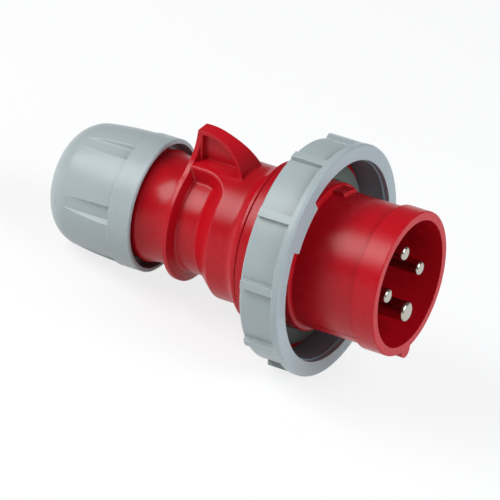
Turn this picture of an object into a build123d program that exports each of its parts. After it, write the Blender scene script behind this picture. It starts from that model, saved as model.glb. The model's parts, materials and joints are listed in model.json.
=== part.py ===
"""Industrial pin and sleeve plug: 16 A, three phases and earth, watertight, with a bayonet locking ring.

Every piece is drawn in the plug's own frame: x runs forward along the plug's axis with 0 at the sleeve's
rim, z points up through the fin, and r is the distance from the axis.  Angles round the axis start at the
fin and turn towards -y.  At the end the plug is laid down as it comes to rest, nose up, on the ribs of its
locking ring and on the dome of its gland nut.
"""
from build123d import *
import math
import os

# Clearances, in millimetres like every length here
RUN_GAP = 0.3
SEAT_GAP = 0.15
PRESS_GAP = 0.05
RING_ROOM = 0.6

# Roundings shared by most edges, and how far a cutter runs past what it cuts
EDGE_ROUNDING = 0.5
FINE_ROUNDING = 0.3
INNER_ROUNDING = 1.0
OVERCUT = 1.0

# Sleeve and front shell
SLEEVE_BORE_R = 22.1
SLEEVE_WALL = 1.9
SLEEVE_DEPTH = 37.5
BAND_LENGTH = 8.6
BAND_HEIGHT = 1.1
BAND_CHAMFER = 0.3
RIM_ROUNDING = 0.45
KEY_WIDTH = 5.8
KEY_HEIGHT = 3.3
SEAM_ANGLE = 127.0
SEAM_WIDTH = 0.5
SEAM_DEPTH = 0.3
COLLAR_HEIGHT = 1.8
COLLAR_LENGTH = 6.9
COLLAR_ROUNDING = 1.2
PAD_ANGLE = -13.0
PAD_WIDTH = 8.0
PAD_LENGTH = 5.2
PAD_HEIGHT = 1.0
FLANGE_MARGIN = 2.55
FLANGE_THICKNESS = 2.5
HUB_BEHIND_RING = 7.6
INSERT_SEAT_STEP = 0.8
SHELL_SPIGOT_WALL = 1.3
SHELL_SPIGOT_LENGTH = 2.6

# Locking ring
RING_SETBACK = 27.6
RING_LENGTH = 15.9
RING_FLANGE_HEIGHT = 2.0
RING_FLANGE_LENGTH = 2.8
RING_EDGE_ROUNDING = 1.0
RING_REAR_WALL = 2.2
RING_SIDE_WALL = 2.2
RING_LIP_SHOW = 0.5
RING_LIP_THICKNESS = 1.8
RIB_COUNT = 10
RIB_FIRST_ANGLE = 9.5
RIB_WIDTH = 2.8
RIB_DROP = 0.1
RIB_SETBACK = 1.2
RIB_BEVEL = 1.4
LUG_ANGLE = 44.6
LUG_SPAN = 30.2
LUG_REACH = 3.3
LUG_THICKNESS = 3.0
LUG_RISE = 1.2
LUG_ROOT = 0.2
LUG_COUNT = 2
LINER_THICKNESS = 1.6

# Gaskets
GASKET_THICKNESS = 2.0
GASKET_WIDTH = 5.5
SEAL_OUTSET = 2.1
SEAL_COVER = 2.0
SEAL_SECTION_R = 0.8

# Rear housing
LIP_STEP = 0.3
LIP_HEIGHT = 3.9
LIP_LENGTH = 1.3
FLARE_LENGTH = 2.0
FLARE_ROUNDING = 5.5
BARREL_END = 13.6
HOUSING_WALL = 2.1
RECESS_SLOPE = 7.2
RECESS_DEPTH = 5.6
RECESS_FLOOR = 7.8
RECESS_ROUNDING = 2.4
SHOULDER_ROUNDING = 0.9
BRIDGE_HALF_WIDTH = 7.1
BEND_ANGLE = 42.0
BEND_R = 12.0
BEND_DRAFT = 35.0
BEND_REACH = 0.3
BEND_DEPTH = 9.0
BEND_FOOT_ROUNDING = 1.0
DISC_DROP = 1.75
DISC_THICKNESS = 1.8
DISC_FRONT_SLOPE = 1.2
DISC_EDGE_ROUNDING = 0.45
NECK_WAIST = 0.8
NECK_ROOT_RISE = 0.3
NECK_LENGTH = 12.2
NECK_RIM_HEIGHT = 2.0
NECK_RIM_LENGTH = 1.2
NECK_CURVE_R = 20.0
NECK_WALL = 3.1
SPIGOT_STEP = 0.5
SPIGOT_LENGTH = 15.6
SPIGOT_WALL = 2.0
SPIGOT_SEAT = 3.0

# Fin on the rear housing
CREST_R = 19.25
CREST_CENTRE_DROP = 8.35
CREST_CENTRE_AHEAD = 3.7
CREST_THICKNESS = 1.4
FIN_TIP_HALF_WIDTH = 2.75
FIN_FLARE_START = 9.0
FIN_FLARE_R = 23.0
FIN_TIP_AHEAD = 1.7
FIN_WEB_THICKNESS = 1.8
FIN_PLATE_THICKNESS = 1.7
FIN_ROOT_FILLET = 14.0
FIN_FOOT_SINK = 1.5
FIN_ROOT_DEPTH = 8.0

# Gland
NUT_BEHIND_DISC = 12.4
NUT_LENGTH = 37.0
NUT_COLLAR_LENGTH = 8.5
NUT_COLLAR_WALL = 4.2
NUT_COLLAR_STEP = 0.45
NUT_EDGE_BEVEL = 0.4
NUT_STEP_SLOPE = 0.1
NUT_SKIRT_WALL = 1.45
NUT_SKIRT_DEPTH = 5.2
NUT_WAIST_DROP = 0.85
DOME_R = 11.6
DOME_INSET = 1.8
DOME_TANGENT_ANGLE = 7.0
CABLE_HOLE_EDGE = 0.5
GROOVE_COUNT = 6
GROOVE_FIRST_ANGLE = 20.0
GROOVE_DEPTH = 1.5
GROOVE_FLOOR_WIDTH = 4.2
GROOVE_TOP_WIDTH = 7.0
NUT_TRAVEL = 3.0
CAGE_BASE_LENGTH = 4.0
CAGE_LENGTH = 14.0
CAGE_WALL = 2.4
CAGE_TIP_WALL = 1.2
CLAW_COUNT = 8
CLAW_SLOT = 1.4
SEAL_BORE_R = 6.5
SEAL_LENGTH = 14.0
WASHER_INSET = 1.6
WASHER_THICKNESS = 1.5

# Contacts and their carrier
PIN_CIRCLE_R = 10.97
PHASE_ANGLES = (0.0, 90.0, 270.0)
EARTH_ANGLE = 180.0
PHASE_PIN_R = 2.5
EARTH_PIN_R = 3.5
PHASE_TIP_SETBACK = 1.85
EARTH_TIP_SETBACK = 0.3
PIN_TIP_ROUNDING = 0.9
PIN_SEAT_STEP = 0.35
PIN_SEAT_PROUD = 0.3
PIN_SHOULDER_STEP = 0.9
PIN_SHOULDER_LENGTH = 3.5
PHASE_TERMINAL_R = 4.2
EARTH_TERMINAL_R = 4.8
TERMINAL_LENGTH = 10.5
WIRE_HOLE_R = 2.3
WIRE_HOLE_DEPTH = 9.0
INSERT_INSET = 2.1
RETAINER_THICKNESS = 4.6
TERMINAL_SCREW_R = 2.0
TERMINAL_SCREW_HEAD_R = 2.9
TERMINAL_SCREW_HEAD_HEIGHT = 1.8
TERMINAL_SCREW_BACK = 5.0
SLOT_WIDTH = 0.8
SLOT_DEPTH = 0.9
PLATE_THICKNESS = 0.7
PLATE_WIDTH = 2.8
PLATE_LENGTH = 6.0
RETAINER_SCREW_R = 1.5
RETAINER_SCREW_HEAD_R = 2.8
RETAINER_SCREW_LENGTH = 11.0
RETAINER_SCREW_INSET = 6.4
RETAINER_SCREW_ANGLES = (45.0, 225.0)

# Radii and stations along the axis, worked out from the sizes above
sleeve_r = SLEEVE_BORE_R + SLEEVE_WALL
band_r = sleeve_r + BAND_HEIGHT
collar_r = sleeve_r + COLLAR_HEIGHT
insert_r = SLEEVE_BORE_R + INSERT_SEAT_STEP
shell_spigot_r = insert_r + SHELL_SPIGOT_WALL
seal_r = shell_spigot_r + SEAL_OUTSET
hub_r = seal_r + SEAL_COVER
gasket_inner_r = collar_r + SEAT_GAP
gasket_outer_r = gasket_inner_r + GASKET_WIDTH
flange_r = gasket_outer_r + FLANGE_MARGIN
liner_inner_r = flange_r + RING_ROOM
liner_outer_r = liner_inner_r + LINER_THICKNESS
lip_opening_r = liner_inner_r + RING_LIP_SHOW
lug_tip_r = liner_inner_r - LUG_REACH
ring_panel_r = liner_outer_r + RING_SIDE_WALL
ring_flange_r = ring_panel_r + RING_FLANGE_HEIGHT
rib_r = ring_flange_r - RIB_DROP
housing_lip_r = hub_r - LIP_STEP
barrel_r = housing_lip_r - LIP_HEIGHT
recess_r = barrel_r - RECESS_DEPTH
disc_r = barrel_r - DISC_DROP
neck_r = recess_r - NECK_WAIST
neck_bore_r = neck_r - NECK_WALL
neck_root_r = recess_r + NECK_ROOT_RISE
neck_rim_r = neck_r + NECK_RIM_HEIGHT
spigot_r = neck_rim_r - SPIGOT_STEP
spigot_bore_r = spigot_r - SPIGOT_WALL
thread_r = spigot_r + RUN_GAP
nut_collar_r = spigot_r + NUT_COLLAR_WALL
nut_body_r = nut_collar_r - NUT_COLLAR_STEP
nut_skirt_r = nut_collar_r - NUT_SKIRT_WALL
nut_waist_r = nut_collar_r - NUT_WAIST_DROP
dome_centre_r = nut_collar_r - DOME_INSET - DOME_R
cable_hole_r = dome_centre_r - CABLE_HOLE_EDGE
washer_r = spigot_bore_r - WASHER_INSET
retainer_screw_circle_r = insert_r - RETAINER_SCREW_INSET
ring_front_x = -RING_SETBACK
ring_rear_x = ring_front_x - RING_LENGTH
flange_rear_x = ring_rear_x + RING_REAR_WALL + RUN_GAP
flange_front_x = flange_rear_x + FLANGE_THICKNESS
collar_front_x = flange_front_x + COLLAR_LENGTH
shell_rear_x = ring_rear_x - HUB_BEHIND_RING
seal_front_x = shell_rear_x + 2 * SEAL_SECTION_R - RUN_GAP
floor_x = -SLEEVE_DEPTH
pin_root_x = floor_x + PIN_SEAT_PROUD
shell_spigot_x = shell_rear_x - SHELL_SPIGOT_LENGTH
retainer_rear_x = shell_spigot_x + INSERT_INSET
carrier_rear_x = retainer_rear_x + RETAINER_THICKNESS
terminal_rear_x = retainer_rear_x - TERMINAL_LENGTH
terminal_screw_x = retainer_rear_x - TERMINAL_SCREW_BACK
housing_front_x = shell_rear_x - RUN_GAP
recess_x = housing_front_x - BARREL_END
recess_floor_x = recess_x - RECESS_SLOPE
disc_root_x = recess_floor_x - RECESS_FLOOR
disc_front_x = disc_root_x - DISC_FRONT_SLOPE
disc_rear_x = disc_front_x - DISC_THICKNESS
neck_rim_x = disc_rear_x - NECK_LENGTH
spigot_x = neck_rim_x - NECK_RIM_LENGTH
spigot_seat_x = spigot_x - SPIGOT_SEAT
spigot_rear_x = spigot_x - SPIGOT_LENGTH
nut_front_x = disc_rear_x - NUT_BEHIND_DISC
nut_rear_x = nut_front_x - NUT_LENGTH
nut_collar_x = nut_front_x - NUT_COLLAR_LENGTH
dome_x = nut_rear_x + DOME_R
cage_rear_x = spigot_seat_x - CAGE_LENGTH
washer_front_x = cage_rear_x - NUT_TRAVEL - RUN_GAP
washer_rear_x = washer_front_x - WASHER_THICKNESS
nut_shoulder_x = washer_rear_x - RUN_GAP
crest_x = disc_rear_x + CREST_CENTRE_AHEAD
fin_tip_x = disc_rear_x + FIN_TIP_AHEAD
crest_centre_r = barrel_r - CREST_CENTRE_DROP
crest_top_z = crest_centre_r + CREST_R


def turned(*corners):
    """Solid of revolution about x from (x, r) corners; a third number rounds that corner."""
    outline = Polyline(*[(corner[0], corner[1]) for corner in corners], close=True)
    profile = Sketch() + make_face(outline)
    for corner in corners:
        if len(corner) == 3:
            vertex = profile.vertices().sort_by_distance((corner[0], corner[1], 0))[0]
            profile = fillet(vertex, corner[2])
    return revolve(profile, Axis.X)


def bar(x_from, x_to, r, inner_r=0.0):
    """Round bar or tube along the axis."""
    if inner_r > 0:
        return turned((x_from, inner_r), (x_from, r), (x_to, r), (x_to, inner_r))
    return turned((x_from, 0), (x_from, r), (x_to, r), (x_to, 0))


def block(x_from, x_to, width, z_from, z_to):
    """Box centred on y = 0."""
    centre = ((x_from + x_to) / 2, 0, (z_from + z_to) / 2)
    return Pos(*centre) * Box(abs(x_to - x_from), width, abs(z_to - z_from))


def side_plate(outline, half_width):
    """Outline drawn in the x-z plane, given equal thickness to both sides of y = 0."""
    face = make_face(Plane.XZ * outline)
    return extrude(face, half_width, both=True)


def section_along(x_from, x_to, face):
    """Face drawn in the y-z plane, drawn out along the axis."""
    return extrude(Plane.YZ.offset(min(x_from, x_to)) * face, abs(x_to - x_from), dir=(1, 0, 0))


def both_sides(outline):
    """Plan drawn on the -y side and its mirror image, as one face."""
    half = make_face(outline)
    return half + mirror(half, Plane.XZ)


def turn_to(angle, shape):
    """Turn what is drawn at the fin's side of the axis round to an angle."""
    return Rot(angle, 0, 0) * shape


def around(first, count, shape):
    """Copies of a shape at equal steps round the axis."""
    return [turn_to(first + step * 360 / count, shape) for step in range(count)]


def sector(x_from, x_to, r_from, r_to, span):
    """Part of a tube, centred on the fin's side."""
    half = math.radians(span / 2)
    reach = 2 * r_to
    corners = ((0, 0), (-reach * math.sin(half), reach * math.cos(half)),
               (reach * math.sin(half), reach * math.cos(half)))
    wedge = section_along(x_from, x_to, make_face(Polyline(*corners, close=True)))
    return bar(x_from, x_to, r_to, r_from) & wedge


def off_axis(point):
    """Distance of a point from the plug's axis."""
    return math.hypot(point.Y, point.Z)


def make_sleeve_shell():
    """Sleeve, base collar, gasket flange, hub and the short spigot that the rear housing slides over."""
    outside = turned(
        (0, 0), (0, band_r, RIM_ROUNDING), (-BAND_LENGTH, band_r, BAND_CHAMFER), (-BAND_LENGTH, sleeve_r),
        (collar_front_x, sleeve_r), (collar_front_x, collar_r, COLLAR_ROUNDING),
        (flange_front_x, collar_r), (flange_front_x, flange_r, EDGE_ROUNDING),
        (flange_rear_x, flange_r, EDGE_ROUNDING), (flange_rear_x, hub_r),
        (shell_rear_x, hub_r, FINE_ROUNDING), (shell_rear_x, shell_spigot_r),
        (shell_spigot_x, shell_spigot_r, EDGE_ROUNDING), (shell_spigot_x, 0))
    key_tip = band_r + KEY_HEIGHT - KEY_WIDTH / 2
    key = block(-BAND_LENGTH, -RIM_ROUNDING, KEY_WIDTH, SLEEVE_BORE_R + SLEEVE_WALL / 2, key_tip)
    key_round = Pos(-(BAND_LENGTH + RIM_ROUNDING) / 2, 0, key_tip) * Rot(0, 90, 0) * Cylinder(
        KEY_WIDTH / 2, BAND_LENGTH - RIM_ROUNDING)
    pad_outline = Polyline(
        (collar_front_x - COLLAR_ROUNDING, sleeve_r - SLEEVE_WALL / 2),
        (collar_front_x - COLLAR_ROUNDING, sleeve_r + PAD_HEIGHT),
        (collar_front_x + PAD_LENGTH - PAD_HEIGHT, sleeve_r + PAD_HEIGHT),
        (collar_front_x + PAD_LENGTH, sleeve_r - SLEEVE_WALL / 2), close=True)
    pad = side_plate(pad_outline, PAD_WIDTH / 2)
    shell = outside + turn_to(180, key + key_round) + turn_to(PAD_ANGLE, pad)
    inside = turned(
        (OVERCUT, 0), (OVERCUT, SLEEVE_BORE_R), (floor_x, SLEEVE_BORE_R), (floor_x, insert_r),
        (shell_spigot_x - OVERCUT, insert_r), (shell_spigot_x - OVERCUT, 0))
    seam = block(-BAND_LENGTH, collar_front_x, SEAM_WIDTH, sleeve_r - SEAM_DEPTH, band_r)
    seal_groove = bar(shell_rear_x, seal_front_x, seal_r + SEAL_SECTION_R + PRESS_GAP,
                      seal_r - SEAL_SECTION_R - PRESS_GAP)
    return shell - inside - turn_to(SEAM_ANGLE, seam) - seal_groove


def make_face_gasket():
    """Soft ring on the shell's flange that the socket's rim is pulled against."""
    front = flange_front_x + GASKET_THICKNESS
    return turned((flange_front_x, gasket_inner_r), (front, gasket_inner_r),
                  (front, gasket_outer_r, EDGE_ROUNDING), (flange_front_x, gasket_outer_r))


def make_housing_seal():
    """Square ring in the shell's rear face, closed by the rear housing."""
    return bar(housing_front_x, seal_front_x, seal_r + SEAL_SECTION_R, seal_r - SEAL_SECTION_R)


def make_lug():
    """Bayonet ramp inside the ring's mouth; its rear face climbs along the span."""
    deepest = LUG_THICKNESS + LUG_RISE
    lug = sector(ring_front_x - deepest, ring_front_x, lug_tip_r, liner_outer_r + LUG_ROOT, LUG_SPAN)
    half_chord = liner_outer_r * math.sin(math.radians(LUG_SPAN / 2))
    ramp = Polyline((ring_front_x - LUG_THICKNESS, -half_chord), (ring_front_x - deepest, half_chord),
                    (ring_front_x - 2 * deepest, half_chord), (ring_front_x - 2 * deepest, -half_chord),
                    close=True)
    return lug - Pos(0, 0, lug_tip_r / 2) * extrude(make_face(ramp), lug_tip_r, dir=(0, 0, 1))


def make_locking_ring():
    """Grip ring with ribs, bayonet lugs and the rear wall that holds it behind the shell's flange."""
    lip_rear_x = ring_front_x - RING_LIP_THICKNESS
    body = turned(
        (ring_front_x, lip_opening_r), (ring_front_x, ring_flange_r, RING_EDGE_ROUNDING),
        (ring_front_x - RING_FLANGE_LENGTH, ring_flange_r, FINE_ROUNDING),
        (ring_front_x - RING_FLANGE_LENGTH, ring_panel_r, FINE_ROUNDING),
        (ring_rear_x, ring_panel_r, RING_EDGE_ROUNDING), (ring_rear_x, hub_r + RUN_GAP),
        (ring_rear_x + RING_REAR_WALL, hub_r + RUN_GAP), (ring_rear_x + RING_REAR_WALL, liner_outer_r),
        (lip_rear_x, liner_outer_r), (lip_rear_x, lip_opening_r))
    rib_rear_x = ring_rear_x + RIB_SETBACK
    rib_outline = Polyline(
        (ring_front_x - RING_FLANGE_LENGTH / 2, ring_panel_r - OVERCUT),
        (ring_front_x - RING_FLANGE_LENGTH / 2, ring_flange_r + OVERCUT),
        (rib_rear_x, ring_flange_r + OVERCUT), (rib_rear_x, rib_r),
        (rib_rear_x - RIB_BEVEL / 2, ring_panel_r - OVERCUT), close=True)
    rib = side_plate(rib_outline, RIB_WIDTH / 2) & bar(ring_front_x, ring_rear_x, rib_r)
    for piece in around(RIB_FIRST_ANGLE, RIB_COUNT, rib) + around(LUG_ANGLE, LUG_COUNT, make_lug()):
        body += piece
    return body


def make_ring_liner():
    """Dark lining of the ring's inside wall, notched where the bayonet lugs cross it."""
    liner = bar(ring_front_x - RING_LIP_THICKNESS, ring_rear_x + RING_REAR_WALL,
                liner_outer_r, liner_inner_r)
    notch = sector(ring_front_x - LUG_THICKNESS - LUG_RISE, ring_front_x, lug_tip_r,
                   liner_outer_r + OVERCUT, LUG_SPAN)
    for piece in around(LUG_ANGLE, LUG_COUNT, notch):
        liner -= piece
    return liner


def make_finger_recess():
    """What the finger recesses take away: a groove that ends, on both sides of the fin, in a rounded bend."""
    outer_r = barrel_r + OVERCUT
    slope = RECESS_SLOPE / RECESS_DEPTH
    front_x = recess_x + OVERCUT * slope
    groove = turned(
        (front_x, outer_r), (recess_floor_x, recess_r, RECESS_ROUNDING),
        (disc_root_x, recess_r, INNER_ROUNDING), (disc_front_x, disc_r), (disc_front_x, outer_r))
    lean = math.tan(math.radians(BEND_DRAFT))
    flank = barrel_r * math.sin(math.radians(BEND_ANGLE) - math.asin(BRIDGE_HALF_WIDTH / barrel_r))
    line_y = flank + (outer_r - math.sqrt(barrel_r**2 - flank**2)) * lean
    end_x = recess_x + OVERCUT * lean + BEND_REACH
    past_x, past_y = disc_front_x - barrel_r, -barrel_r
    outline = Polyline((end_x, line_y - BEND_R), (end_x, past_y), (past_x, past_y), (past_x, line_y),
                       (end_x - BEND_R, line_y))
    outline += TangentArc((end_x - BEND_R, line_y), (end_x, line_y - BEND_R), tangent=(1, 0))
    plan = Pos(0, 0, outer_r) * make_face(outline)
    bend = turn_to(BEND_ANGLE, extrude(plan, BEND_DEPTH, dir=(0, 0, -1), taper=BEND_DRAFT)) & groove
    open_part = groove - sector(front_x, disc_front_x, recess_r / 2, 2 * outer_r, 2 * BEND_ANGLE)
    recess = open_part + bend + mirror(bend, Plane.XZ)
    feet = [edge for edge in recess.edges().filter_by(GeomType.BSPLINE)
            if all(off_axis(edge @ step) < recess_r + BEND_FOOT_ROUNDING / 2 for step in (0, 0.5, 1))]
    return recess.fillet(BEND_FOOT_ROUNDING, feet)


def soften_recess(solid):
    """Round the edges where the finger recesses break through the barrel."""
    rim = [edge for edge in solid.edges()
           if all(abs(off_axis(edge @ step) - barrel_r) < PRESS_GAP for step in (0, 0.3, 0.5, 0.8, 1))
           and disc_front_x < (edge @ 0.5).X - PRESS_GAP < recess_x]
    return solid.fillet(SHOULDER_ROUNDING, rim)


def make_fin():
    """Fin: arched crest strip on a thin web, with a rear plate that runs out of the flange disc."""
    foot_z = barrel_r - FIN_FOOT_SINK
    foot_x = crest_x + math.sqrt(CREST_R**2 - (foot_z - crest_centre_r)**2)
    tip_z = crest_centre_r + math.sqrt(CREST_R**2 - (fin_tip_x - crest_x)**2)
    middle = (crest_x + CREST_R / 2, crest_centre_r + CREST_R * math.sqrt(3) / 2)
    side = ThreePointArc((foot_x, foot_z), middle, (fin_tip_x, tip_z))
    side += Polyline((fin_tip_x, tip_z), (disc_rear_x, disc_r), (disc_rear_x, recess_r),
                     (foot_x, recess_r), (foot_x, foot_z))
    envelope = side_plate(side, disc_r)
    flare_x = disc_rear_x + FIN_FLARE_START
    plan_end = foot_x + OVERCUT
    flare_y = FIN_TIP_HALF_WIDTH + FIN_FLARE_R - math.sqrt(FIN_FLARE_R**2 - (plan_end - flare_x)**2)
    outline = TangentArc((flare_x, -FIN_TIP_HALF_WIDTH), (plan_end, -flare_y), tangent=(1, 0))
    outline += Polyline((plan_end, -flare_y), (plan_end, 0), (disc_rear_x - OVERCUT, 0),
                        (disc_rear_x - OVERCUT, -FIN_TIP_HALF_WIDTH), (flare_x, -FIN_TIP_HALF_WIDTH))
    fin = envelope & extrude(both_sides(outline), crest_top_z + OVERCUT, dir=(0, 0, 1))
    inner_r = CREST_R - CREST_THICKNESS
    plate_x = fin_tip_x + FIN_PLATE_THICKNESS
    hollow = Pos(crest_x, 0, crest_centre_r) * Rot(90, 0, 0) * Cylinder(inner_r, 2 * disc_r)
    end_x = crest_x + CREST_R
    hollow &= block(plate_x, end_x, 2 * disc_r, 0, crest_top_z)
    hollow -= block(disc_rear_x, end_x, FIN_WEB_THICKNESS, 0, crest_top_z)
    return fin - hollow, envelope


def make_rear_plate(envelope):
    """Rear plate of the fin, flowing out of the flange disc with large fillets."""
    tower = Pos(0, crest_top_z / 2) * Rectangle(2 * FIN_TIP_HALF_WIDTH, crest_top_z + OVERCUT)
    outline = Circle(disc_r) + tower
    foot_z = math.sqrt(disc_r**2 - FIN_TIP_HALF_WIDTH**2)
    feet = [outline.vertices().sort_by_distance((side * FIN_TIP_HALF_WIDTH, foot_z, 0))[0]
            for side in (-1, 1)]
    outline = fillet(feet, FIN_ROOT_FILLET)
    plate = section_along(disc_rear_x - OVERCUT, disc_rear_x + FIN_ROOT_DEPTH, outline)
    slab = envelope & (Pos(FIN_PLATE_THICKNESS, 0, 0) * envelope)
    return (plate & envelope) - slab


def make_rear_housing():
    """Rear housing: lip, flare, barrel, finger recesses, flange disc, fin, neck and gland spigot."""
    shelf_x = housing_front_x - SHELL_SPIGOT_LENGTH - SEAT_GAP
    outside = turned(
        (housing_front_x, 0), (housing_front_x, housing_lip_r, FINE_ROUNDING),
        (housing_front_x - LIP_LENGTH, housing_lip_r, FINE_ROUNDING),
        (housing_front_x - LIP_LENGTH - FLARE_LENGTH, barrel_r, FLARE_ROUNDING),
        (disc_front_x, barrel_r), (disc_front_x, disc_r),
        (disc_rear_x, disc_r, DISC_EDGE_ROUNDING), (disc_rear_x, neck_root_r, EDGE_ROUNDING),
        (disc_rear_x - NECK_LENGTH / 2, neck_r, NECK_CURVE_R), (neck_rim_x, neck_rim_r, EDGE_ROUNDING),
        (spigot_x, neck_rim_r, FINE_ROUNDING), (spigot_x, spigot_r), (spigot_rear_x, spigot_r, EDGE_ROUNDING),
        (spigot_rear_x, 0))
    fin, envelope = make_fin()
    solid = soften_recess(outside - make_finger_recess()) + fin + make_rear_plate(envelope)
    waist_bore_r = recess_r - HOUSING_WALL
    inside = turned(
        (housing_front_x + OVERCUT, 0), (housing_front_x + OVERCUT, shell_spigot_r + RUN_GAP),
        (shelf_x, shell_spigot_r + RUN_GAP), (shelf_x, barrel_r - HOUSING_WALL),
        (recess_x + HOUSING_WALL / 2, barrel_r - HOUSING_WALL, INNER_ROUNDING),
        (recess_floor_x + HOUSING_WALL / 2, waist_bore_r, INNER_ROUNDING),
        (disc_front_x, waist_bore_r, INNER_ROUNDING), (disc_rear_x, neck_bore_r, INNER_ROUNDING),
        (spigot_seat_x, neck_bore_r), (spigot_seat_x, spigot_bore_r),
        (spigot_rear_x - OVERCUT, spigot_bore_r), (spigot_rear_x - OVERCUT, 0))
    return solid - inside


def make_gland_nut():
    """Gland nut: plain collar, leaf-shaped grooves that run out over the curve, and a domed end."""
    tangent = math.radians(DOME_TANGENT_ANGLE)
    dome_start = (dome_x - DOME_R * math.sin(tangent), dome_centre_r + DOME_R * math.cos(tangent))
    halfway = (tangent + math.pi / 2) / 2
    dome_middle = (dome_x - DOME_R * math.sin(halfway), dome_centre_r + DOME_R * math.cos(halfway))
    waist = ((nut_collar_x + dome_start[0]) / 2, nut_waist_r)
    profile = Polyline(
        (nut_rear_x, dome_centre_r), (nut_rear_x, 0), (nut_front_x, 0),
        (nut_front_x, nut_collar_r - NUT_EDGE_BEVEL), (nut_front_x - NUT_EDGE_BEVEL, nut_collar_r),
        (nut_collar_x + NUT_STEP_SLOPE, nut_collar_r), (nut_collar_x, nut_body_r))
    profile += ThreePointArc((nut_collar_x, nut_body_r), waist, dome_start)
    profile += ThreePointArc(dome_start, dome_middle, (nut_rear_x, dome_centre_r))
    nut = revolve(make_face(profile), Axis.X)
    washer_room = washer_r + RUN_GAP
    skirt_x = nut_front_x - NUT_SKIRT_DEPTH
    cone_x = spigot_rear_x - NUT_TRAVEL - RUN_GAP
    inside = turned(
        (nut_front_x + OVERCUT, 0), (nut_front_x + OVERCUT, nut_skirt_r), (skirt_x, nut_skirt_r),
        (skirt_x, thread_r),
        (cone_x, thread_r), (washer_front_x + RUN_GAP, washer_room), (nut_shoulder_x, washer_room),
        (nut_shoulder_x, cable_hole_r), (nut_rear_x - OVERCUT, cable_hole_r),
        (nut_rear_x - OVERCUT, 0))
    floor_z = nut_body_r - GROOVE_DEPTH
    flank = (GROOVE_TOP_WIDTH - GROOVE_FLOOR_WIDTH) / 2
    above = nut_collar_r + GROOVE_DEPTH - floor_z
    top_half = GROOVE_FLOOR_WIDTH / 2 + flank * above / GROOVE_DEPTH
    section = Polyline((-GROOVE_FLOOR_WIDTH / 2, floor_z), (GROOVE_FLOOR_WIDTH / 2, floor_z),
                       (top_half, floor_z + above), (-top_half, floor_z + above), close=True)
    groove = section_along(nut_rear_x, nut_collar_x, make_face(section))
    nut -= inside
    for piece in around(GROOVE_FIRST_ANGLE, GROOVE_COUNT, groove):
        nut -= piece
    return nut


def make_slip_washer():
    """Washer between the nut's shoulder and the seal, so that the seal isn't dragged round."""
    return bar(washer_rear_x, washer_front_x, washer_r, cable_hole_r)


def make_clamp_cage():
    """Cage in the spigot's bore: a base ring with slotted claws that the nut's cone closes."""
    outer_r = spigot_bore_r - SEAT_GAP
    base_x = spigot_seat_x - CAGE_BASE_LENGTH
    cage = turned(
        (spigot_seat_x, outer_r - CAGE_WALL), (spigot_seat_x, outer_r), (base_x, outer_r),
        (cage_rear_x, outer_r - CAGE_WALL + CAGE_TIP_WALL, EDGE_ROUNDING), (cage_rear_x, outer_r - CAGE_WALL))
    for slot in around(0, CLAW_COUNT, block(cage_rear_x - OVERCUT, base_x, CLAW_SLOT, 0, outer_r + OVERCUT)):
        cage -= slot
    return cage


def make_cable_seal():
    """Rubber bushing that the claws squeeze round the cord."""
    outer_r = spigot_bore_r - SEAT_GAP - CAGE_WALL - PRESS_GAP
    rear_x = spigot_seat_x - SEAL_LENGTH
    return turned((spigot_seat_x, SEAL_BORE_R, EDGE_ROUNDING), (spigot_seat_x, outer_r), (rear_x, outer_r),
                  (rear_x, SEAL_BORE_R, EDGE_ROUNDING))


def make_contact(pin_r, terminal_r, tip_setback):
    """Solid contact drawn on the axis: pin, seat, shoulder and the terminal block with its wire hole."""
    shoulder_r = terminal_r + PIN_SHOULDER_STEP
    shoulder_front_x = carrier_rear_x + PIN_SHOULDER_LENGTH
    contact = turned(
        (-tip_setback, 0), (-tip_setback, pin_r, PIN_TIP_ROUNDING), (pin_root_x, pin_r),
        (pin_root_x, pin_r + PIN_SEAT_STEP), (shoulder_front_x, pin_r + PIN_SEAT_STEP),
        (shoulder_front_x, shoulder_r), (carrier_rear_x, shoulder_r), (carrier_rear_x, terminal_r),
        (terminal_rear_x, terminal_r, FINE_ROUNDING), (terminal_rear_x, 0))
    contact -= bar(terminal_rear_x - OVERCUT, terminal_rear_x + WIRE_HOLE_DEPTH, WIRE_HOLE_R)
    screw_hole = Pos(terminal_screw_x, 0, terminal_r / 2) * Cylinder(TERMINAL_SCREW_R + PRESS_GAP, terminal_r)
    return contact - screw_hole


def make_terminal_screw(terminal_r):
    """Slotted clamping screw, drawn over a contact on the axis."""
    tip_z = WIRE_HOLE_R - 2 * PLATE_THICKNESS
    shank = Pos(0, 0, (tip_z + terminal_r) / 2) * Cylinder(TERMINAL_SCREW_R, terminal_r - tip_z)
    head_z = terminal_r + TERMINAL_SCREW_HEAD_HEIGHT / 2
    head = Pos(0, 0, head_z) * Cylinder(TERMINAL_SCREW_HEAD_R, TERMINAL_SCREW_HEAD_HEIGHT)
    slot_z = terminal_r + TERMINAL_SCREW_HEAD_HEIGHT - SLOT_DEPTH / 2
    slot = Pos(0, 0, slot_z) * Box(2 * TERMINAL_SCREW_HEAD_R, SLOT_WIDTH, SLOT_DEPTH)
    return Pos(terminal_screw_x, 0, 0) * (shank + head - slot)


def make_clamp_plate():
    """Small plate under a terminal screw that keeps the screw off the strands."""
    top_z = WIRE_HOLE_R - 2 * PLATE_THICKNESS
    start_x = terminal_screw_x + PLATE_LENGTH / 2
    return block(start_x - PLATE_LENGTH, start_x, PLATE_WIDTH, top_z - PLATE_THICKNESS, top_z)


def contact_places():
    """Name, angle, pin radius, terminal radius and tip setback of each contact."""
    places = [(f"phase_pin_{number + 1}", angle, PHASE_PIN_R, PHASE_TERMINAL_R, PHASE_TIP_SETBACK)
              for number, angle in enumerate(PHASE_ANGLES)]
    return places + [("earth_pin", EARTH_ANGLE, EARTH_PIN_R, EARTH_TERMINAL_R, EARTH_TIP_SETBACK)]


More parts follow.
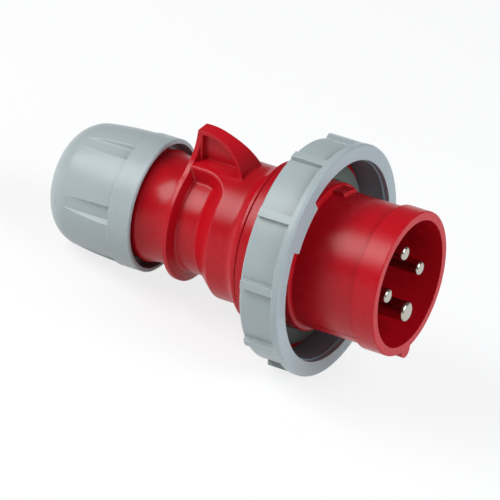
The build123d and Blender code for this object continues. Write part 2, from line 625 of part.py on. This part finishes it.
def at_contact(angle, shape):
    """Move what is drawn over the axis out to a contact's place."""
    return turn_to(angle, Pos(0, 0, PIN_CIRCLE_R) * shape)


def make_carrier():
    """Insulating carrier: the sleeve's floor, bored for the pins and counterbored for their shoulders."""
    carrier = turned((floor_x, 0), (floor_x, insert_r - PRESS_GAP), (carrier_rear_x, insert_r - PRESS_GAP),
                     (carrier_rear_x, 0))
    for _, angle, pin_r, terminal_r, _ in contact_places():
        shoulder_r = terminal_r + PIN_SHOULDER_STEP + PRESS_GAP
        hole = bar(floor_x + OVERCUT, carrier_rear_x - OVERCUT, pin_r + PIN_SEAT_STEP + PRESS_GAP)
        hole += bar(carrier_rear_x + PIN_SHOULDER_LENGTH, carrier_rear_x - OVERCUT, shoulder_r)
        carrier -= at_contact(angle, hole)
    for angle in RETAINER_SCREW_ANGLES:
        carrier -= turn_to(angle, Pos(0, 0, retainer_screw_circle_r) * bar(
            carrier_rear_x + RETAINER_SCREW_LENGTH - RETAINER_THICKNESS, carrier_rear_x - OVERCUT,
            RETAINER_SCREW_R + PRESS_GAP))
    return carrier


def make_retainer():
    """Plate behind the carrier that holds the contacts' shoulders."""
    plate = bar(carrier_rear_x, retainer_rear_x, insert_r - PRESS_GAP)
    for _, angle, _, terminal_r, _ in contact_places():
        plate -= at_contact(angle, bar(
            carrier_rear_x + OVERCUT, retainer_rear_x - OVERCUT, terminal_r + PRESS_GAP))
    for angle in RETAINER_SCREW_ANGLES:
        plate -= turn_to(angle, Pos(0, 0, retainer_screw_circle_r) * make_retainer_screw(PRESS_GAP))
    return plate


def make_retainer_screw(clearance=0.0):
    """Countersunk screw on the axis, its head flush with the retainer; with a clearance it is the hole."""
    sink = RETAINER_SCREW_HEAD_R - RETAINER_SCREW_R
    head_r = RETAINER_SCREW_HEAD_R + clearance
    shank_r = RETAINER_SCREW_R + clearance
    tip_x = retainer_rear_x + RETAINER_SCREW_LENGTH
    return turned((retainer_rear_x, 0), (retainer_rear_x, head_r), (retainer_rear_x + sink, shank_r),
                  (tip_x, shank_r), (tip_x, 0))


def make_retainer_screws():
    """Both retainer screws, with their cross slots."""
    slot = Pos(retainer_rear_x, 0, 0) * Box(2 * SLOT_DEPTH, 2 * RETAINER_SCREW_R, SLOT_WIDTH)
    slot += Pos(retainer_rear_x, 0, 0) * Box(2 * SLOT_DEPTH, SLOT_WIDTH, 2 * RETAINER_SCREW_R)
    screw = Pos(0, 0, retainer_screw_circle_r) * (make_retainer_screw() - slot)
    return Compound([turn_to(angle, screw).solid() for angle in RETAINER_SCREW_ANGLES])


def make_pieces():
    """Every piece in the plug's own frame, by name."""
    pieces = {
        "sleeve_shell": make_sleeve_shell(), "face_gasket": make_face_gasket(),
        "housing_seal": make_housing_seal(), "locking_ring": make_locking_ring(),
        "ring_liner": make_ring_liner(), "rear_housing": make_rear_housing(),
        "gland_nut": make_gland_nut(), "slip_washer": make_slip_washer(),
        "clamp_cage": make_clamp_cage(), "cable_seal": make_cable_seal(),
        "contact_carrier": make_carrier(), "contact_retainer": make_retainer(),
        "retainer_screws": make_retainer_screws()}
    for number, (name, angle, pin_r, terminal_r, tip_setback) in enumerate(contact_places(), start=1):
        pieces[name] = at_contact(angle, make_contact(pin_r, terminal_r, tip_setback))
        pieces[f"terminal_screw_{number}"] = at_contact(angle, make_terminal_screw(terminal_r))
        pieces[f"clamp_plate_{number}"] = at_contact(angle, make_clamp_plate())
    return pieces


def resting_placement():
    """Roll until two ribs face the ground, then pitch until ribs and gland dome touch it together."""
    step = 360 / RIB_COUNT
    lowest_rib = max(RIB_FIRST_ANGLE + step * number for number in range(RIB_COUNT)
                     if RIB_FIRST_ANGLE + step * number <= 180)
    roll = 180 - (lowest_rib + step / 2)
    half_rib = math.asin(RIB_WIDTH / 2 / rib_r)
    rib_depth = rib_r * math.cos(math.radians(step / 2) - half_rib)
    rib_x = ring_rear_x + RIB_SETBACK
    run = rib_x - dome_x
    drop = rib_depth - dome_centre_r
    pitch = math.degrees(math.acos(DOME_R / math.hypot(run, drop)) - math.atan2(run, drop))
    return Rot(0, -pitch, 0) * Rot(roll, 0, 0), roll, pitch


def main():
    pieces = make_pieces()
    turn, roll, pitch = resting_placement()
    laid = {name: turn * piece for name, piece in pieces.items()}
    box = Compound([solid for piece in laid.values() for solid in piece.solids()]).bounding_box()
    shift = Pos(-(box.min.X + box.max.X) / 2, -(box.min.Y + box.max.Y) / 2, -box.min.Z)
    os.makedirs("parts", exist_ok=True)
    for name, piece in laid.items():
        export_step(shift * piece, f"parts/{name}.step")
    print(f"roll {roll:.4f} deg, pitch {pitch:.4f} deg")
    print("rim centre", [round(value, 4) for value in shift.position], "size", box.size)


main()
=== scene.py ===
"""Industrial pin and sleeve plug: surface finishes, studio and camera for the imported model.

Lengths are metres in the model's own frame, +Z up, with the plug lying nose up along +X.
"""

import json
import math

import bpy
from mathutils import Matrix, Vector

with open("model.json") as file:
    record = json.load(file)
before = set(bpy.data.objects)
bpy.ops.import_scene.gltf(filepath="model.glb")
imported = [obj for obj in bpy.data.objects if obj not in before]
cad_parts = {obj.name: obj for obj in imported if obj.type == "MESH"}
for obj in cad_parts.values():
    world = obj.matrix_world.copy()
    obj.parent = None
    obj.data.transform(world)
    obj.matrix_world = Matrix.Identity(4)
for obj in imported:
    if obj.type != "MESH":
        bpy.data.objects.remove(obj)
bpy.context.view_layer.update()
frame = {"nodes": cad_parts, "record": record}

# Camera at the photograph's angle, in degrees and metres, with lens and sensor in millimetres
TARGET = Vector((0.00445, 0.00095, 0.02764))
CAMERA_AZIMUTH = 22.31
CAMERA_ELEVATION = 27.54
CAMERA_ROLL = 18.62
CAMERA_DISTANCE = 2.0404
CAMERA_LENS = 436.6
CAMERA_SENSOR = 36.0
CAMERA_REACH = 50.0

# Colours as linear values
RED = (0.455, 0.0025, 0.0095)
# Lighter red for the edges: a painted highlight
RED_EDGE_HIGHLIGHT = (0.62, 0.03, 0.04)
GREY = (0.348, 0.402, 0.408)
# Lighter grey for the edges: a painted highlight
GREY_EDGE_HIGHLIGHT = (0.72, 0.78, 0.79)
# Ring's inside wall: dark colour tinted blue-green to cancel the red light bounced onto it, a
# painted counter to that bounce light
LINING = (0.22, 0.38, 0.41)
RUBBER = (0.085, 0.105, 0.09)
BLACK = (0.022, 0.022, 0.024)
NICKEL = (0.50, 0.465, 0.40)
STEEL = (0.60, 0.60, 0.58)
WASHER = (0.72, 0.71, 0.66)
WHITE = (1.0, 1.0, 1.0)
COOL = (0.91, 0.985, 1.08)
PALE = (0.90, 0.90, 0.90)

# One finish for each material slot of the record; roughness is the range the gloss wanders over
FINISHES = {
    "red_shell": dict(colour=RED, edge_highlight=RED_EDGE_HIGHLIGHT, roughness=(0.24, 0.31), specular=0.25),
    "grey_plastic": dict(colour=GREY, edge_highlight=GREY_EDGE_HIGHLIGHT, roughness=(0.27, 0.34), specular=0.26,
                         mottle=0.03, edge_radius=0.00026),
    "dark_liner": dict(colour=LINING, roughness=(0.5, 0.6), grain=0.1),
    "rubber": dict(colour=RUBBER, roughness=(0.6, 0.72), grain=0.15),
    "black_plastic": dict(colour=BLACK, roughness=(0.4, 0.5)),
    "nickel": dict(colour=NICKEL, roughness=(0.1, 0.16), grain=0.03, metallic=1.0,
                   edge_radius=0.0008),
    "steel": dict(colour=STEEL, roughness=(0.3, 0.42), metallic=1.0),
    "washer": dict(colour=WASHER, roughness=(0.35, 0.45)),
}

# Noises of a finish, each as scale and detail
MOTTLE_NOISE = (55.0, 3.0)
GLOSS_NOISE = (90.0, 4.0)
# Noise that breaks the painted edge highlight into patches
HIGHLIGHT_PATCH_NOISE = (240.0, 3.0)
GRAIN_NOISE = (3500.0, 2.0)

# How a finish uses them
MOTTLE_LIFT = 0.002  # keeps near-black from going flat
GLOSS_SPREAD = (0.3, 0.7)
HIGHLIGHT_PATCH_SPREAD = (0.35, 0.7)
HIGHLIGHT_PATCH_STRENGTH = (0.45, 0.95)
GRAIN_HEIGHT = 0.0001
EDGE_LEAN = 0.07
EDGE_SAMPLES = 6

# Studio: strengths, where 1 is white; CEILING_START is the height on the sky's unit sphere at
# which reflections find it dark, and FLOOR_REACH is half the floor's width
AMBIENT = 0.14
BACKDROP = 1.0
HORIZON_GLOW = 0.82
CEILING_GLOW = 0.0
CEILING_START = 0.17
FLOOR_GLOW = 0.80
FLOOR_MIRRORED = 0.7
FLOOR_REACH = 30.0

# Softboxes: direction from the plug in degrees, size in metres and power in watts
SOFTBOX_DISTANCE = 1.1
SOFTBOXES = {
    "key_softbox": dict(azimuth=-55, elevation=37, width=0.74, height=0.6, power=11.0,
                        colour=WHITE),
    "side_softbox": dict(azimuth=85, elevation=40, width=0.7, height=0.7, power=9.8,
                         colour=COOL),
}

# A Mix node's colour sockets share their names with its other types, so they go by number
MIX_FIRST, MIX_SECOND, MIX_RESULT = 6, 7, 2


def add(tree, kind, **settings):
    """New node with its settings."""
    node = tree.nodes.new(kind)
    for name, value in settings.items():
        setattr(node, name, value)
    return node


def feed(tree, value, socket):
    """Put a socket's output, a colour or a number into a socket."""
    if isinstance(value, bpy.types.NodeSocket):
        tree.links.new(value, socket)
    elif isinstance(value, tuple):
        socket.default_value = (*value, 1.0)
    else:
        socket.default_value = value


def noise(tree, coords, scale, detail):
    """Noise texture in the model's own coordinates; returns its factor socket."""
    texture = add(tree, "ShaderNodeTexNoise")
    feed(tree, scale, texture.inputs["Scale"])
    feed(tree, detail, texture.inputs["Detail"])
    feed(tree, coords, texture.inputs["Vector"])
    return texture.outputs["Fac"]


def ranged(tree, factor, low, high, start=0.0, end=1.0):
    """Factor mapped from start..end onto low..high."""
    node = add(tree, "ShaderNodeMapRange")
    feed(tree, factor, node.inputs["Value"])
    feed(tree, start, node.inputs["From Min"])
    feed(tree, end, node.inputs["From Max"])
    feed(tree, low, node.inputs["To Min"])
    feed(tree, high, node.inputs["To Max"])
    return node.outputs["Result"]


def combine(tree, operation, first, second):
    """Result of a maths operation on two values."""
    node = add(tree, "ShaderNodeMath", operation=operation)
    feed(tree, first, node.inputs[0])
    feed(tree, second, node.inputs[1])
    return node.outputs["Value"]


def blend_colours(tree, factor, first, second):
    """First colour where the factor is 0 and second where it is 1."""
    node = add(tree, "ShaderNodeMix", data_type="RGBA")
    feed(tree, factor, node.inputs["Factor"])
    feed(tree, first, node.inputs[MIX_FIRST])
    feed(tree, second, node.inputs[MIX_SECOND])
    return node.outputs[MIX_RESULT]


def blend_shaders(tree, factor, first, second):
    """First shader where the factor is 0 and second where it is 1."""
    node = add(tree, "ShaderNodeMixShader")
    feed(tree, factor, node.inputs["Fac"])
    feed(tree, first, node.inputs[1])
    feed(tree, second, node.inputs[2])
    return node.outputs["Shader"]


def edge_mask(tree, rounded):
    """Zero on open faces and rising to one along edges, from how far a rounded normal leans."""
    geometry = add(tree, "ShaderNodeNewGeometry")
    dot = add(tree, "ShaderNodeVectorMath", operation="DOT_PRODUCT")
    feed(tree, geometry.outputs["Normal"], dot.inputs[0])
    feed(tree, rounded, dot.inputs[1])
    return ranged(tree, dot.outputs["Value"], 1.0, 0.0, start=1.0 - EDGE_LEAN)


def surface(name, colour, roughness, edge_highlight=None, grain=0.05, mottle=0.06, edge_radius=0.00022,
            metallic=0.0, specular=0.5):
    """Moulded, rubber or metal finish: mottled colour, uneven gloss, fine grain and soft edges.

    A lighter edge colour, where there is one, is a painted highlight along the edges, broken
    into patches by noise.
    """
    material = bpy.data.materials.new(name)
    material.use_nodes = True
    tree = material.node_tree
    shader = tree.nodes["Principled BSDF"]
    coords = add(tree, "ShaderNodeTexCoord").outputs["Object"]
    bevel = add(tree, "ShaderNodeBevel", samples=EDGE_SAMPLES)
    feed(tree, edge_radius, bevel.inputs["Radius"])
    rounded = bevel.outputs["Normal"]

    pale = tuple(min(1.0, value * (1 + mottle) + MOTTLE_LIFT) for value in colour)
    deep = tuple(value * (1 - mottle) for value in colour)
    tint = blend_colours(tree, noise(tree, coords, *MOTTLE_NOISE), deep, pale)
    # Painted highlight: edges lightened towards the lighter colour, in noise patches
    if edge_highlight:
        highlight_patches = ranged(tree, noise(tree, coords, *HIGHLIGHT_PATCH_NOISE), *HIGHLIGHT_PATCH_STRENGTH, *HIGHLIGHT_PATCH_SPREAD)
        highlight_share = combine(tree, "MULTIPLY", edge_mask(tree, rounded), highlight_patches)
        tint = blend_colours(tree, highlight_share, tint, edge_highlight)
    feed(tree, tint, shader.inputs["Base Color"])

    gloss = ranged(tree, noise(tree, coords, *GLOSS_NOISE), *roughness, *GLOSS_SPREAD)
    feed(tree, gloss, shader.inputs["Roughness"])

    bump = add(tree, "ShaderNodeBump")
    feed(tree, grain, bump.inputs["Strength"])
    feed(tree, GRAIN_HEIGHT, bump.inputs["Distance"])
    feed(tree, noise(tree, coords, *GRAIN_NOISE), bump.inputs["Height"])
    feed(tree, rounded, bump.inputs["Normal"])
    feed(tree, bump.outputs["Normal"], shader.inputs["Normal"])

    feed(tree, metallic, shader.inputs["Metallic"])
    feed(tree, specular, shader.inputs["Specular IOR Level"])
    return material


def dress():
    """Give every solid the finish of its slot."""
    finishes = {slot: surface(slot, **settings) for slot, settings in FINISHES.items()}
    slots = {entry["node"]: entry["material_slot"] for entry in frame["record"]["subparts"]}
    for name, node in frame["nodes"].items():
        node.data.materials.clear()
        node.data.materials.append(finishes[slots[name]])


def make_floor():
    """Pale floor: glows white for the camera and in reflections, and takes the plug's shadow."""
    material = bpy.data.materials.new("studio_floor")
    material.use_nodes = True
    tree = material.node_tree
    tree.nodes.remove(tree.nodes["Principled BSDF"])
    matt = add(tree, "ShaderNodeBsdfDiffuse")
    feed(tree, PALE, matt.inputs["Color"])
    glow = add(tree, "ShaderNodeEmission")
    feed(tree, BACKDROP, glow.inputs["Strength"])
    path = add(tree, "ShaderNodeLightPath")
    mirrored = combine(tree, "MULTIPLY", path.outputs["Is Glossy Ray"], FLOOR_MIRRORED)
    seen = combine(tree, "MAXIMUM", path.outputs["Is Camera Ray"], mirrored)
    share = combine(tree, "MULTIPLY", seen, FLOOR_GLOW)
    shader = blend_shaders(tree, share, matt.outputs["BSDF"], glow.outputs["Emission"])
    feed(tree, shader, tree.nodes["Material Output"].inputs["Surface"])

    mesh = bpy.data.meshes.new("studio_floor")
    sides = ((-1, -1), (1, -1), (1, 1), (-1, 1))
    corners = [(x * FLOOR_REACH, y * FLOOR_REACH, 0) for x, y in sides]
    mesh.from_pydata(corners, [], [(0, 1, 2, 3)])
    mesh.materials.append(material)
    floor = bpy.data.objects.new("studio_floor", mesh)
    bpy.context.scene.collection.objects.link(floor)


def make_world():
    """White backdrop for the camera, even fill, and in reflections a glow that fades upwards."""
    world = bpy.data.worlds.new("studio")
    world.use_nodes = True
    tree = world.node_tree
    fill = tree.nodes["Background"]
    white = add(tree, "ShaderNodeBackground")
    for background, strength in ((fill, AMBIENT), (white, BACKDROP)):
        feed(tree, WHITE, background.inputs["Color"])
        feed(tree, strength, background.inputs["Strength"])
    height = add(tree, "ShaderNodeSeparateXYZ")
    feed(tree, add(tree, "ShaderNodeTexCoord").outputs["Generated"], height.inputs["Vector"])
    fading = ranged(tree, height.outputs["Z"], HORIZON_GLOW, CEILING_GLOW, end=CEILING_START)
    path = add(tree, "ShaderNodeLightPath")
    mirrored = combine(tree, "MULTIPLY", path.outputs["Is Glossy Ray"], fading)
    seen = combine(tree, "MAXIMUM", path.outputs["Is Camera Ray"],
                   path.outputs["Is Transmission Ray"])
    share = combine(tree, "MAXIMUM", seen, mirrored)
    shader = blend_shaders(tree, share, fill.outputs["Background"], white.outputs["Background"])
    feed(tree, shader, tree.nodes["World Output"].inputs["Surface"])
    bpy.context.scene.world = world


def direction(azimuth, elevation):
    """Unit vector away from the plug, where azimuth 0 is the -Y side and 90 the +X side."""
    a, e = math.radians(azimuth), math.radians(elevation)
    return Vector((math.sin(a) * math.cos(e), -math.cos(a) * math.cos(e), math.sin(e)))


def softbox(name, azimuth, elevation, width, height, power, colour):
    """Rectangular lamp aimed at the plug, unseen by the camera itself."""
    lamp = bpy.data.lights.new(name, "AREA")
    lamp.shape = "RECTANGLE"
    lamp.size = width
    lamp.size_y = height
    lamp.energy = power
    lamp.color = colour
    holder = bpy.data.objects.new(name, lamp)
    bpy.context.scene.collection.objects.link(holder)
    away = direction(azimuth, elevation)
    holder.location = TARGET + away * SOFTBOX_DISTANCE
    holder.rotation_euler = (-away).to_track_quat("-Z", "Y").to_euler()
    holder.visible_camera = False


def make_lights():
    """Broad softboxes to the left and right of the camera."""
    for name, settings in SOFTBOXES.items():
        softbox(name, **settings)


def make_camera():
    """Long lens at the photograph's angle, rolled to match the plug's rest pose."""
    camera = bpy.data.cameras.new("camera")
    camera.lens = CAMERA_LENS
    camera.sensor_width = CAMERA_SENSOR
    camera.clip_end = CAMERA_REACH
    holder = bpy.data.objects.new("camera", camera)
    bpy.context.scene.collection.objects.link(holder)
    away = direction(CAMERA_AZIMUTH, CAMERA_ELEVATION)
    level = (-away).to_track_quat("-Z", "Y").to_matrix()
    roll = Matrix.Rotation(math.radians(CAMERA_ROLL), 3, "Z")
    place = Matrix.Translation(TARGET + away * CAMERA_DISTANCE)
    holder.matrix_world = place @ (level @ roll).to_4x4()
    bpy.context.scene.camera = holder


dress()
make_floor()
make_world()
make_lights()
make_camera()
bpy.context.scene.view_settings.view_transform = "Standard"
